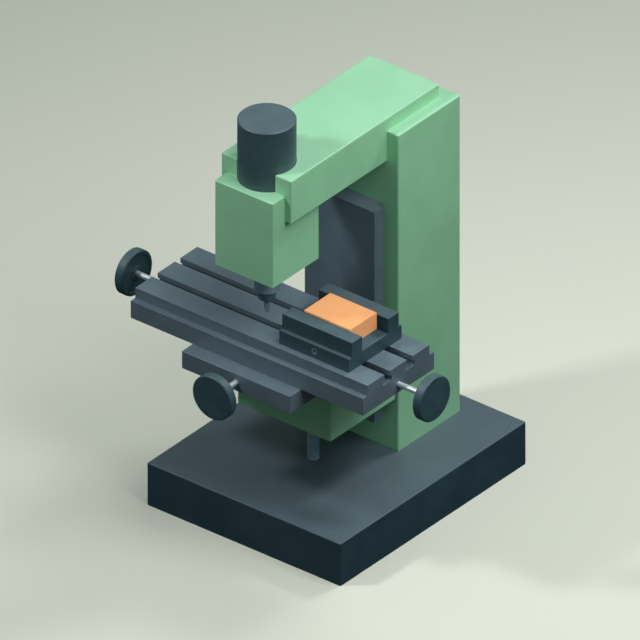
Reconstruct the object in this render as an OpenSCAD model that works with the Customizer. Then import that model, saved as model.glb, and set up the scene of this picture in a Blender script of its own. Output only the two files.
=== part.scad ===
// Knee mill: a floor-standing vertical milling machine with a sliding ram.
// X runs along the table, Y runs to the back and Z up. All sizes are in millimetres.
// The origin is the centre of the base's underside.

/* [Base] */
// Width of the base casting
base_w = 1000; // [960:10:1100]
// Depth of the base casting
base_d = 1200; // [1180:10:1400]
// Height of the base casting
base_h = 200; // [180:5:230]
// Thickness of the base's rim and top plate
base_wall = 40; // [36:1:45]
// Thickness of the ribs under the base
rib_t = 20; // [14:1:26]
// Spacing of the levelling holes across the base
level_x = 880; // [850:5:890]
// Spacing of the levelling holes from front to back
level_y = 1080; // [1050:5:1090]
// Radius of a levelling hole, the core of an M20 thread
level_r = 8.75; // [7:0.25:10]

/* [Column] */
// Width of the column
col_w = 480; // [470:2:520]
// Depth of the column
col_d = 400; // [380:5:430]
// Distance from the origin back to the column's front face
col_front = 100; // [90:1:120]
// Thickness of the column's walls
col_wall = 30; // [26:1:34]
// Height of the ram's seat in the column above the floor
seat_z = 1560; // [1550:2:1640]
// Height of the cheeks beside the ram
cheek_h = 140; // [130:2:160]
// Width of the window in the column's back
window_w = 300; // [260:5:330]
// Height of that window
window_h = 1000; // [800:10:1050]

/* [Ways] */
// Width of the way plate that the knee rides on
way_w = 360; // [350:2:370]
// Thickness of the way plate
way_t = 80; // [76:1:84]
// Height of the way plate's lower end above the floor
way_z = 350; // [320:5:370]
// Length of the way plate
way_h = 1000; // [900:10:1050]
// Depth of the neck behind the way plate's wings
neck_d = 24; // [20:1:28]
// Width of each wing that the keepers grip
wing_w = 24; // [18:1:30]

/* [Ram and head] */
// Width of the ram
ram_w = 360; // [350:2:370]
// Height of the ram
ram_h = 200; // [190:2:220]
// Length of the ram
ram_len = 960; // [920:5:980]
// Distance from the spindle axis forward to the ram's nose
ram_nose = 70; // [60:1:90]
// Wall thickness of the ram
ram_wall = 30; // [26:1:34]
// Distance from the origin forward to the spindle axis
spindle_reach = 450; // [440:1:460]
// Width of the head
head_w = 300; // [290:2:306]
// Depth of the head
head_d = 300; // [290:2:310]
// Height of the head
head_h = 400; // [390:2:410]
// Height of the head's top above the ram's underside
head_rise = 120; // [110:1:130]
// Wall thickness of the head
head_wall = 25; // [20:1:28]

/* [Motor] */
// Radius of the motor
motor_r = 120; // [112:1:124]
// Height of the motor above the head
motor_h = 280; // [265:1:320]
// Wall thickness of the motor housing
motor_wall = 8; // [6:1:10]
// Height of the fan cowl at the motor's top
cowl_h = 55; // [45:1:60]

/* [Spindle] */
// Radius of the quill
quill_r = 52; // [50:0.5:56]
// How far the quill stands out of the head at rest
quill_out = 128; // [124:1:150]
// How far the quill draws back into the head
quill_travel = 120; // [80:1:122]
// Radius of the spindle
spindle_r = 25; // [22:0.5:26]
// Radius of the collet chuck
chuck_r = 38; // [34:0.5:42]
// Height of the collet chuck
chuck_h = 47.5; // [44:0.5:50]
// Radius of the end mill
cutter_r = 12; // [8:0.5:13]
// How far the end mill stands out of the chuck
cutter_out = 64; // [50:1:66]

/* [Knee] */
// Width of the knee
knee_w = 480; // [470:2:500]
// Distance from the way plate's face to the knee's front
knee_reach = 360; // [350:2:380]
// Height of the knee's underside above the floor at rest
knee_z = 460; // [450:2:480]
// Height of the knee
knee_h = 300; // [290:2:310]
// Wall thickness of the knee
knee_wall = 30; // [26:1:34]
// Radius of the elevating screw
lift_r = 25; // [20:0.5:26]
// Distance from the origin forward to the elevating screw
lift_reach = 150; // [140:1:160]
// Height of the elevating screw's top above the floor
lift_top = 575; // [570:1:578]
// How far below the knee's top the crank shaft lies
crank_drop = 170; // [166:1:174]
// Radius of the crank shaft
crank_r = 14; // [12:0.5:16]

/* [Saddle] */
// Width of the saddle
saddle_w = 560; // [540:5:600]
// Depth of the saddle
saddle_d = 600; // [580:5:620]
// Height of the saddle
saddle_h = 80; // [76:1:90]
// Width of the dovetail rails at their tops
rail_w = 240; // [220:2:250]
// Height of the dovetail rails
rail_h = 25; // [22:0.5:26]
// Thickness of the gibs
gib_t = 10; // [8:0.5:12]

/* [Table] */
// Length of the table
table_w = 1200; // [1150:10:1280]
// Distance from the origin forward to the table's centre line
table_reach = 350; // [345:1:355]
// Depth of the table's slab
slab_d = 460; // [450:2:480]
// Thickness of the table's slab
slab_h = 80; // [78:1:90]
// Depth of the table's work surface
top_d = 400; // [390:2:410]
// Height of the ridges between the tee slots
ridge_h = 48; // [46:0.5:52]
// Spacing of the two tee slots
slot_pitch = 146.7; // [140:0.1:150]
// Width of a tee slot's throat
slot_w = 36; // [28:0.5:38]
// Width of a tee slot's foot
foot_w = 60; // [52:0.5:62]
// Height of a tee slot's foot
foot_h = 25; // [22:0.5:27]

/* [Handwheels] */
// Radius of a handwheel
wheel_r = 100; // [85:1:110]
// Thickness of a handwheel's rim
wheel_t = 40; // [30:1:44]
// Radius of the feed screws
screw_r = 12; // [10:0.5:13]
// Bare length of a table screw between the table and its handwheel
table_shaft = 150; // [120:1:180]
// Bare length of the cross screw between the saddle and its handwheel
cross_shaft = 118; // [110:1:150]
// Bare length of the crank shaft between the knee and its handwheel
crank_shaft_out = 100; // [90:1:120]
// Radius of the quill handwheel
quill_wheel_r = 80; // [60:1:90]

/* [Vise] */
// Length of the vise along the table
vise_w = 360; // [340:2:380]
// Depth of the vise
vise_d = 340; // [332:2:360]
// Height of the vise's bed
bed_h = 63; // [60:1:70]
// Height of the jaws above the bed
jaw_h = 69; // [60:1:76]
// Thickness of a jaw
jaw_t = 66; // [60:1:68]
// Distance from the table's centre to the vise's left end
vise_left = 120; // [112:1:140]
// Length of the workpiece
work_w = 240; // [220:2:260]
// Depth of the workpiece, which is how far the jaws stand apart
work_d = 170; // [166:1:176]
// Height of the workpiece
work_h = 77; // [60:1:84]

/* [Fits] */
// Radial clearance of every shaft in its bearing
run_gap = 0.05; // [0.02:0.01:0.09]
// Clearance beside a sliding way
way_gap = 0.05; // [0.02:0.01:0.1]
// Clearance round a bolt
bolt_gap = 0.2; // [0.1:0.05:0.4]
// Radius of the cast edges
edge_r = 6; // [3:0.5:9]

/* [Hidden] */
$fn = 64;

GREEN = [0.42, 0.66, 0.50];
SLATE = [0.24, 0.29, 0.33];
DARK = [0.09, 0.14, 0.17];
STEEL = [0.62, 0.65, 0.68];
BRONZE = [0.72, 0.52, 0.26];
ORANGE = [0.90, 0.58, 0.34];

// Levels and faces that the pieces share
way_front = col_front - way_t;
col_back = col_front + col_d;
cheek_top = seat_z + cheek_h;
axis_y = -spindle_reach;
head_front = axis_y - head_d / 2;
head_back = axis_y + head_d / 2;
head_top = seat_z + head_rise;
head_z = head_top - head_h;
ram_top = seat_z + ram_h;
ram_front = axis_y - ram_nose;
ram_back = ram_front + ram_len;
motor_top = head_top + motor_h;
quill_z = head_z - quill_out;
knee_front = way_front - knee_reach;
knee_top = knee_z + knee_h;
knee_back = col_front - 0.5;
rail_top = knee_top + rail_h;
saddle_top = knee_top + saddle_h;
table_y = -table_reach;
slab_top = saddle_top + slab_h;
table_top = slab_top + ridge_h;
bed_top = table_top + bed_h;
lift_y = -lift_reach;
crank_z = knee_top - crank_drop;
cross_z = knee_top + saddle_h / 2;
feed_z = saddle_top + slab_h / 2;
saddle_front = table_y - saddle_d / 2;
table_end = table_w / 2;
vise_x = vise_left + vise_w / 2;
slope = tan(30);
cut = 1;

// Bolts
bolt_r = 8;
bolt_head_r = 12;
bolt_head_h = 16;
bolt_len = 70;
bolt_in = 60;
way_bolt_in = 100;
keeper_bolt_in = 30;
keeper_bolt_low = 40;
small_r = 5;
small_head_r = 8;
small_head_h = 9;

// Ram slide and its keepers
keeper_w = 32;
keeper_h = 16;
keeper_z = seat_z + 40;
keeper_from = col_back - 250;
keeper_grip = 12;

// Rear cover
cover_t = 12;
cover_lap = 20;

// Bearings
bearing_h = 25;
collar_r = 33;
drive_r = 30;
drive_out_r = 45;
brg_r = 38;
brg_h = 30;
plate_t = 20;
shield_t = 10;
shaft_low = head_top - 65;
spline_r = 18;
spline_root = 14;
spline_w = 6;
spline_len = 165;
rotor_r = 74;
pack_h = 150;
pack_z = head_top + 40;

// Quill rack and pinion, module 2
rack_m = 2;
pinion_teeth = 20;
pinion_rise = 120;
pinion_z = head_z + pinion_rise;
pinion_r = rack_m * pinion_teeth / 2;
rack_y = axis_y + quill_r - 5;
pinion_y = rack_y + pinion_r;
pinion_w = 22;
pinion_shaft_r = 10;
guide_r = quill_r + 23;
guide_h = 220;
quill_in = 200;
quill_len = quill_out + quill_in;
spline_top = quill_z + quill_len + spline_len;
quill_wheel_t = 24;
quill_wheel_gap = 24;

// Handwheels
wheel_chamfer = 4;
wheel_dish = 3;
wheel_web = 10;

// Miter gears of the knee's crank, module 5
miter_teeth = 20;
miter_m = 5;
miter_r = miter_teeth * miter_m / 2;
miter_face = 18;
nut_r = 38;
web_t = 25;
thrust_r = 60;
thrust_h = 14;
lift_socket_r = 20;
lift_socket_h = 100;

// Table and saddle details
groove_gap = 0.5;
bracket_t = 30;
nut_w = 60;
nut_len = 56;
nut_half = 18;
channel_w = nut_w + 6;

// Vise details
jaw_gap_y = work_d / 2;
lug_w = 35.8;
lug_d = 38;
vise_screw_r = 10;
vise_screw_z = table_top + 32;
vise_bolt_x = 90;

// Control box
box_x = 60;
box_y = 140;
box_h = 200;
box_z = 1050;
box_mid_y = col_front + 200;
button_reach = 9;

// Box between two corners
module block(low, high) {
    translate(low)
        cube(high - low);
}

// Cylinder along X from a to b, on the line y, z
module rod_x(r, a, b, y, z) {
    translate([a, y, z])
        rotate([0, 90, 0])
            cylinder(r = r, h = b - a);
}

// Cylinder along Y from a to b, on the line x, z
module rod_y(r, a, b, x, z) {
    translate([x, b, z])
        rotate([90, 0, 0])
            cylinder(r = r, h = b - a);
}

// Cylinder along Z from a to b, on the line x, y
module rod_z(r, a, b, x, y) {
    translate([x, y, a])
        cylinder(r = r, h = b - a);
}

// Flat shape w by d, centred, with round corners
module rounded(w, d, r) {
    square([w - 2 * r, d], center = true);
    square([w, d - 2 * r], center = true);
    for (x = [-1, 1], y = [-1, 1])
        translate([x * (w / 2 - r), y * (d / 2 - r)])
            circle(r = r);
}

// Side view w by h standing on the line y = 0, with its two upper corners round
module rounded_top(w, h, r) {
    translate([-w / 2, 0])
        square([w, h - r]);
    translate([-w / 2 + r, 0])
        square([w - 2 * r, h]);
    for (x = [-1, 1])
        translate([x * (w / 2 - r), h - r])
            circle(r = r);
}

// Cast block between two corners, with its upright and upper edges round
module casting(low, high, r) {
    size = high - low;
    translate([(low[0] + high[0]) / 2, (low[1] + high[1]) / 2, low[2]])
        intersection() {
            linear_extrude(size[2])
                rounded(size[0], size[1], r);
            translate([0, size[1] / 2, 0])
                rotate([90, 0, 0])
                    linear_extrude(size[1])
                        rounded_top(size[0], size[2], r);
            translate([-size[0] / 2, 0, 0])
                rotate([90, 0, 90])
                    linear_extrude(size[0])
                        rounded_top(size[1], size[2], r);
        }
}

// Dovetail outline w wide at its top and h high, standing on the line y = 0
module dovetail(w, h) {
    polygon([[-w / 2 + h * slope, 0], [w / 2 - h * slope, 0], [w / 2, h], [-w / 2, h]]);
}

// Groove for a dovetail rail: a running gap on one side, the gib's room on the other, open below
module dovetail_groove(w, h, gib) {
    deep = h + groove_gap;
    polygon([
        [-w / 2 + h * slope - gib, 0], [w / 2 - h * slope + way_gap, 0],
        [w / 2 + groove_gap * slope + way_gap, deep], [-w / 2 - groove_gap * slope - gib, deep]
    ]);
}

// Gib strip's outline, a leaning bar that fills the gap between rail and groove
module gib_outline(w, h) {
    polygon([
        [-w / 2 + h * slope - gib_t - way_gap, 0], [-w / 2 + h * slope - way_gap, 0],
        [-w / 2 - way_gap, h], [-w / 2 - gib_t - way_gap, h]
    ]);
}

// Socket head bolt along +Z: the head's underside is at z = 0, the shank goes up, and the head hangs below
module bolt(r, len, head_r, head_h) {
    difference() {
        union() {
            cylinder(r = r, h = len);
            translate([0, 0, -head_h])
                cylinder(r = head_r, h = head_h);
        }
        translate([0, 0, -head_h - cut])
            cylinder(r = r * 0.9, h = head_h / 2 + cut, $fn = 6);
    }
}

module frame_bolt() {
    bolt(bolt_r, bolt_len, bolt_head_r, bolt_head_h);
}

module small_bolt(len) {
    bolt(small_r, len, small_head_r, small_head_h);
}

// Involute of a circle, in degrees
function inv(a) = tan(a) * 180 / PI - a;

// Half the angle that a tooth covers at radius q, for base radius rb
function half_tooth(q, rb, half) = half - (q > rb ? inv(acos(rb / q)) : 0);

// Outline of an involute gear with a tooth centred on +X, thinned for backlash
function gear_outline(teeth, m, add, thin) =
    let (
        r = teeth * m / 2,
        rb = r * cos(20),
        half = 90 / teeth * thin + inv(20),
        root = r - 1.25 * m,
        radii = [root, max(root, rb), r, r + add * m * 0.6, r + add * m],
        n = len(radii) - 1
    )
    [for (i = [0:teeth - 1], side = [-1, 1], k = [0:n])
        let (
            q = radii[side < 0 ? k : n - k],
            a = 360 / teeth * i + side * half_tooth(q, rb, half)
        )
        q * [cos(a), sin(a)]];

// Straight miter gear on +Z: its large end is at z = 0 and its teeth run to an apex at z = miter_r
module miter_gear() {
    linear_extrude(height = miter_face, scale = (miter_r - miter_face) / miter_r)
        polygon(gear_outline(miter_teeth, miter_m, 0.7, 0.8));
}

// Solid disc handwheel on +Z: its back is at z = 0, its outer face is plain, and its bore is blind
module handwheel(r, t, bore_r) {
    hub_r = r * 0.32;
    rotate_extrude()
        polygon([
            [bore_r, 0], [hub_r, 0], [hub_r + wheel_dish, wheel_dish], [r * 0.8, wheel_dish],
            [r * 0.8 + wheel_dish, 0], [r - wheel_chamfer, 0], [r, wheel_chamfer], [r, t - wheel_chamfer],
            [r - wheel_chamfer, t], [0, t], [0, t - wheel_web], [bore_r, t - wheel_web]
        ]);
}

// FRAME

// Places of the bolts that hold the column, and of those that hold the way plate
function column_bolt_spots() =
    [for (x = [-1, 1], y = [col_front + bolt_in, col_front + col_d / 2, col_back - bolt_in])
        [x * (col_w / 2 - bolt_in), y]];
function way_bolt_spots() =
    [for (x = [-1, 1], i = [0:4])
        [x * way_w / 4, way_z + way_bolt_in + i * (way_h - 2 * way_bolt_in) / 4]];

seat_under = 50;

module base_casting() {
    cells_x = 6;
    cells_y = 6;
    cell_w = (base_w - 2 * base_wall - (cells_x - 1) * rib_t) / cells_x;
    cell_d = (base_d - 2 * base_wall - (cells_y - 1) * rib_t) / cells_y;
    color(DARK)
        difference() {
            union() {
                difference() {
                    casting([-base_w / 2, -base_d / 2, 0], [base_w / 2, base_d / 2, base_h], edge_r);
                    for (i = [0:cells_x - 1], j = [0:cells_y - 1])
                        translate([
                            -base_w / 2 + base_wall + i * (cell_w + rib_t),
                            -base_d / 2 + base_wall + j * (cell_d + rib_t),
                            -cut
                        ])
                            cube([cell_w, cell_d, base_h - base_wall + cut]);
                }
                for (x = [-1, 1], y = [-1, 1])
                    rod_z(34, 0, base_h - base_wall + cut, x * level_x / 2, y * level_y / 2);
                for (p = column_bolt_spots())
                    rod_z(32, 0, base_h - base_wall + cut, p[0], p[1]);
                rod_z(60, base_h - lift_socket_h - 40, base_h - base_wall + cut, 0, lift_y);
            }
            for (x = [-1, 1], y = [-1, 1])
                rod_z(level_r, -cut, 80, x * level_x / 2, y * level_y / 2);
            for (p = column_bolt_spots()) {
                rod_z(bolt_head_r + 6, -cut, base_h - seat_under, p[0], p[1]);
                rod_z(bolt_r + bolt_gap, 0, base_h + cut, p[0], p[1]);
            }
            rod_z(lift_socket_r, base_h - lift_socket_h, base_h + cut, 0, lift_y);
        }
}

module column_casting() {
    inner_w = col_w - 2 * col_wall;
    window_z = base_h + 200;
    color(GREEN)
        difference() {
            casting([-col_w / 2, col_front, base_h], [col_w / 2, col_back, cheek_top], edge_r);
            block(
                [-inner_w / 2, col_front + col_wall, base_h + 40],
                [inner_w / 2, col_back - col_wall, seat_z - 40]);
            block(
                [-window_w / 2, col_back - col_wall - cut, window_z],
                [window_w / 2, col_back + cut, window_z + window_h]);
            block(
                [-ram_w / 2 - way_gap, col_front - cut, seat_z],
                [ram_w / 2 + way_gap, col_back + cut, cheek_top + cut]);
            for (x = [-1, 1])
                translate([x * (ram_w / 2 - keeper_grip + keeper_w / 2), 0, 0])
                    block(
                        [-keeper_w / 2, keeper_from, keeper_z],
                        [keeper_w / 2, col_back + cut, keeper_z + keeper_h]);
            for (p = column_bolt_spots())
                rod_z(bolt_r, base_h - cut, base_h + 22, p[0], p[1]);
            for (p = way_bolt_spots())
                rod_y(bolt_r + bolt_gap, col_front - cut, col_front + col_wall + cut, p[0], p[1]);
            for (p = cover_screw_spots())
                rod_y(small_r, col_back - col_wall - cut, col_back + cut, p[0], p[1]);
            for (y = lock_spots())
                rod_x(bolt_r, -col_w / 2 - cut, -ram_w / 2, y, cheek_top - 50);
        }
}

// M16 bolts: six hold the column to the base from below, ten hold the way plate from inside the column
module frame_bolts() {
    color(STEEL) {
        for (p = column_bolt_spots())
            translate([p[0], p[1], base_h - seat_under])
                frame_bolt();
        for (p = way_bolt_spots())
            translate([p[0], col_front + col_wall, p[1]])
                rotate([90, 0, 0])
                    frame_bolt();
    }
}

function cover_screw_spots() =
    [for (x = [-1, 1], i = [0:3])
        [x * (window_w / 2 + cover_lap / 2), base_h + 200 + window_h * (i + 0.5) / 4]];

module rear_cover() {
    window_z = base_h + 200;
    color(GREEN)
        difference() {
            union() {
                block(
                    [-window_w / 2 - cover_lap, col_back, window_z - cover_lap],
                    [window_w / 2 + cover_lap, col_back + cover_t, window_z + window_h + cover_lap]);
                block(
                    [-window_w / 2 + 2, col_back - 10, window_z + 2],
                    [window_w / 2 - 2, col_back + cut, window_z + window_h - 2]);
            }
            for (p = cover_screw_spots())
                rod_y(small_r + bolt_gap, col_back - cut, col_back + cover_t + cut, p[0], p[1]);
            // Louvres low in the cover let the column breathe
            for (i = [0:5])
                block(
                    [-80, col_back - 11, window_z + 60 + i * 30],
                    [80, col_back + cover_t + cut, window_z + 72 + i * 30]);
        }
}

module rear_cover_screws() {
    color(STEEL)
        for (p = cover_screw_spots())
            translate([p[0], col_back + cover_t, p[1]])
                rotate([90, 0, 0])
                    small_bolt(36);
}

// Box ways: two wings in front and a neck behind them, so that the knee's keepers can grip the wings
module way_plate() {
    color(SLATE)
        difference() {
            union() {
                block([-way_w / 2, way_front, way_z], [way_w / 2, col_front - neck_d, way_z + way_h]);
                block(
                    [-way_w / 2 + wing_w, way_front + cut, way_z],
                    [way_w / 2 - wing_w, col_front, way_z + way_h]);
            }
            for (p = way_bolt_spots())
                rod_y(bolt_r, col_front - 42, col_front + cut, p[0], p[1]);
        }
}

// The screw stands still in the base, and the knee climbs it
module elevating_screw() {
    color(STEEL) {
        rod_z(lift_socket_r, base_h - lift_socket_h, base_h + cut, 0, lift_y);
        difference() {
            rod_z(lift_r, base_h, lift_top, 0, lift_y);
            rod_z(lift_r / 2, lift_top - 8, lift_top + cut, 0, lift_y);
        }
    }
}

module ram_keepers() {
    color(SLATE)
        for (x = [-1, 1])
            translate([x * (ram_w / 2 - keeper_grip + keeper_w / 2), 0, 0])
                block(
                    [-keeper_w / 2, keeper_from, keeper_z],
                    [keeper_w / 2, col_back, keeper_z + keeper_h]);
}

function lock_spots() = [col_front + 110, col_back - 110];

module ram_lock_screws() {
    color(STEEL)
        for (y = lock_spots()) {
            rod_x(bolt_r, -col_w / 2 - cut, -ram_w / 2 - way_gap, y, cheek_top - 50);
            translate([-col_w / 2 - 14, y, cheek_top - 50])
                rotate([0, 90, 0])
                    cylinder(r = 14, h = 14, $fn = 6);
        }
}

// Switch box on the column's left side
module control_box() {
    wall = 4;
    left = -col_w / 2 - box_x;
    color(SLATE)
        difference() {
            casting(
                [left, box_mid_y - box_y / 2, box_z],
                [-col_w / 2, box_mid_y + box_y / 2, box_z + box_h], 3);
            block(
                [left + wall, box_mid_y - box_y / 2 + wall, box_z + wall],
                [-col_w / 2 - wall, box_mid_y + box_y / 2 - wall, box_z + box_h - wall]);
            for (z = [start_z, stop_z])
                rod_x(12 + run_gap, left - cut, left + wall + cut, box_mid_y, z);
        }
}

start_z = box_z + 145;
stop_z = box_z + 60;

// Push button with a stem through the box's wall and a collar behind it
module push_button(cap_r, z) {
    left = -col_w / 2 - box_x;
    rod_x(12, left - button_reach, left + 16, box_mid_y, z);
    rod_x(15, left + 4, left + 10, box_mid_y, z);
    rod_x(cap_r, left - button_reach - 6, left - button_reach + 2, box_mid_y, z);
}

module start_button() {
    color("seagreen")
        push_button(16, start_z);
}

module stop_button() {
    color("firebrick")
        push_button(22, stop_z);
}

// RAM, HEAD AND MOTOR

module ram_casting() {
    inner = ram_w / 2 - ram_wall;
    lug = 20;
    color(GREEN)
        difference() {
            casting([-ram_w / 2, ram_front, seat_z], [ram_w / 2, ram_back, ram_top], edge_r);
            // Room for the head under the nose, and for the motor through the top
            block(
                [-head_w / 2, ram_front - cut, seat_z - cut],
                [head_w / 2, head_back, head_top]);
            rod_z(motor_r + 1, head_top - cut, ram_top + cut, 0, axis_y);
            difference() {
                block(
                    [-inner, head_back + ram_wall, seat_z + ram_wall],
                    [inner, ram_back + cut, ram_top - ram_wall]);
                for (p = cap_bolt_spots())
                    block(
                        [p[0] - lug, ram_back - 60, p[1] - lug],
                        [p[0] + lug, ram_back - 16, p[1] + lug]);
            }
            for (p = cap_bolt_spots())
                rod_y(small_r, ram_back - 36, ram_back, p[0], p[1]);
            for (x = [-1, 1])
                block(
                    [x * (ram_w / 2 - keeper_grip / 2 + 1) - keeper_grip / 2 - 1.1, col_front, keeper_z - 0.1],
                    [x * (ram_w / 2 - keeper_grip / 2 + 1) + keeper_grip / 2 + 1.1, ram_back + cut,
                        keeper_z + keeper_h + 0.1]);
            for (p = head_bolt_spots())
                rod_y(bolt_r + bolt_gap, head_back - cut, head_back + ram_wall + cut, p[0], p[1]);
        }
}

function head_bolt_spots() = [for (x = [-1, 1], z = [seat_z + ram_wall + 14, head_top - 38]) [x * 90, z]];

module ram_end_cap() {
    inner = ram_w / 2 - ram_wall;
    color(GREEN)
        difference() {
            block([-inner, ram_back - 16, seat_z + ram_wall], [inner, ram_back - 2, ram_top - ram_wall]);
            for (p = cap_bolt_spots())
                rod_y(small_r + bolt_gap, ram_back - 17, ram_back, p[0], p[1]);
        }
}

function cap_bolt_spots() =
    [for (x = [-1, 1], z = [-1, 1])
        [x * (ram_w / 2 - ram_wall - 19), seat_z + ram_h / 2 + z * (ram_h / 2 - ram_wall - 19)]];

// Four bolts hold the head to the ram's bulkhead, and four small ones the end cap to its lugs
module ram_screws() {
    color(STEEL) {
        for (p = head_bolt_spots())
            translate([p[0], head_back + ram_wall, p[1]])
                rotate([90, 0, 0])
                    bolt(bolt_r, 54, bolt_head_r, bolt_head_h);
        for (p = cap_bolt_spots())
            translate([p[0], ram_back - 2, p[1]])
                rotate([90, 0, 0])
                    small_bolt(30);
    }
}

module head_housing() {
    bore = quill_r + run_gap;
    half = head_w / 2 - head_wall;
    color(GREEN)
        difference() {
            union() {
                difference() {
                    casting(
                        [-head_w / 2, head_front, head_z],
                        [head_w / 2, head_back, head_top], edge_r);
                    block(
                        [-half, head_front + head_wall, head_z + 30],
                        [half, head_back - head_wall, head_top - plate_t]);
                    block(
                        [-half - 10, head_front + head_wall - 10, head_top - plate_t],
                        [half + 10, head_back - head_wall + 10, head_top + cut]);
                }
                rod_z(guide_r, head_z + 20, head_z + guide_h, 0, axis_y);
                rod_x(22, -half - cut, -20, pinion_y, pinion_z);
            }
            rod_z(bore, head_z - cut, head_z + guide_h + cut, 0, axis_y);
            rod_x(pinion_shaft_r + run_gap, -head_w / 2 - cut, 0, pinion_y, pinion_z);
            block(
                [-pinion_w / 2 - 3, axis_y + quill_r - 12, pinion_z - pinion_r - 6],
                [pinion_w / 2 + 3, pinion_y + pinion_r + 6, pinion_z + pinion_r + 6]);
            for (p = head_bolt_spots())
                rod_y(bolt_r, head_back - head_wall - cut, head_back + cut, p[0], p[1]);
        }
}

module motor_plate() {
    half = head_w / 2 - head_wall + 10;
    deep = head_d / 2 - head_wall + 10;
    color(GREEN)
        difference() {
            block([-half, axis_y - deep, head_top - plate_t], [half, axis_y + deep, head_top]);
            rod_z(drive_out_r, head_top - plate_t - cut, head_top + cut, 0, axis_y);
        }
}

// Tube round the stator
module motor_housing() {
    low = head_top + shield_t;
    high = motor_top - cowl_h - bearing_h;
    color(SLATE)
        difference() {
            rod_z(motor_r, low, high, 0, axis_y);
            rod_z(motor_r - motor_wall, low - cut, high + cut, 0, axis_y);
        }
}

// Shields that close the tube's ends and hold the motor's bearings
module motor_end_shields() {
    body_top = motor_top - cowl_h;
    color(SLATE)
        for (ends = [[head_top, head_top + shield_t], [body_top - bearing_h, body_top]])
            difference() {
                rod_z(motor_r, ends[0], ends[1], 0, axis_y);
                rod_z(drive_out_r, ends[0] - cut, ends[1] + cut, 0, axis_y);
            }
}

module motor_stator() {
    color(BRONZE)
        difference() {
            rod_z(motor_r - motor_wall, pack_z, pack_z + pack_h, 0, axis_y);
            rod_z(rotor_r + 1, pack_z - cut, pack_z + pack_h + cut, 0, axis_y);
            for (i = [0:23])
                translate([0, axis_y, 0])
                    rotate([0, 0, i * 15])
                        block([rotor_r - 1, -3, pack_z - cut], [rotor_r + 22, 3, pack_z + pack_h + cut]);
        }
}

module fan_cowl() {
    wall = 3;
    body_top = motor_top - cowl_h;
    color(SLATE)
        translate([0, axis_y, body_top])
            rotate_extrude()
                polygon([
                    [motor_r - wall, 0], [motor_r, 0], [motor_r, cowl_h - 5], [motor_r - 5, cowl_h],
                    [0, cowl_h], [0, cowl_h - wall], [motor_r - 5 - wall / 2, cowl_h - wall],
                    [motor_r - wall, cowl_h - 5 - wall / 2]
                ]);
}

// Wiring box behind the motor
module terminal_box() {
    color(SLATE)
        translate([0, axis_y, ram_top + 15])
            rotate([0, 0, 38])
                difference() {
                    casting([-42, motor_r - 12, 0], [42, motor_r + 45, 90], 4);
                    rod_z(motor_r, -cut, 100, 0, 0);
                    block([-38, motor_r + 4, 4], [38, motor_r + 41, 86]);
                }
}

// Ball bearing drawn as its two rings and a filled ball track
module bearing(r_in, r_out, h) {
    track = (r_out - r_in) * 0.3;
    mid = (r_in + r_out) / 2;
    rotate_extrude()
        polygon([
            [r_in, 0], [mid - track / 2, 0], [mid - track / 2, h * 0.1], [mid + track / 2, h * 0.1],
            [mid + track / 2, 0], [r_out, 0], [r_out, h], [mid + track / 2, h],
            [mid + track / 2, h * 0.9], [mid - track / 2, h * 0.9], [mid - track / 2, h], [r_in, h]
        ]);
}

module drive_bearings() {
    color(STEEL)
        for (z = [head_top - plate_t, motor_top - cowl_h - bearing_h])
            translate([0, axis_y, z])
                bearing(drive_r + run_gap, drive_out_r, bearing_h);
}

// Round bar with six splines, grown all round by gap
module spline_outline(gap) {
    circle(r = spline_root + gap);
    for (i = [0:2])
        rotate(60 * i)
            square([2 * (spline_r + gap), spline_w + 2 * gap], center = true);
}

// Hollow shaft that the spindle's splines slide in
module motor_shaft() {
    color(STEEL)
        translate([0, axis_y, 0])
            difference() {
                union() {
                    rod_z(drive_r, shaft_low, motor_top - cowl_h + 10, 0, 0);
                    rod_z(drive_r - 6, shaft_low, motor_top - 20, 0, 0);
                }
                translate([0, 0, shaft_low - cut])
                    linear_extrude(spline_top + quill_travel + 6 - shaft_low)
                        spline_outline(run_gap);
            }
}

module motor_rotor() {
    color(SLATE)
        difference() {
            union() {
                rod_z(rotor_r, pack_z, pack_z + pack_h, 0, axis_y);
                rod_z(rotor_r - 8, pack_z - 8, pack_z + pack_h + 8, 0, axis_y);
            }
            rod_z(drive_r, pack_z - 10, pack_z + pack_h + 10, 0, axis_y);
        }
}

module cooling_fan() {
    z = motor_top - cowl_h + 12;
    color(DARK)
        translate([0, axis_y, 0])
            difference() {
                union() {
                    rod_z(motor_r - 20, z, z + 3, 0, 0);
                    rod_z(drive_r + 4, z, z + 22, 0, 0);
                    for (i = [0:7])
                        rotate([0, 0, i * 45])
                            block([drive_r, -2, z + 2], [motor_r - 22, 2, z + 22]);
                }
                rod_z(drive_r - 6, z - cut, z + 30, 0, 0);
            }
}

// QUILL AND SPINDLE

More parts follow.
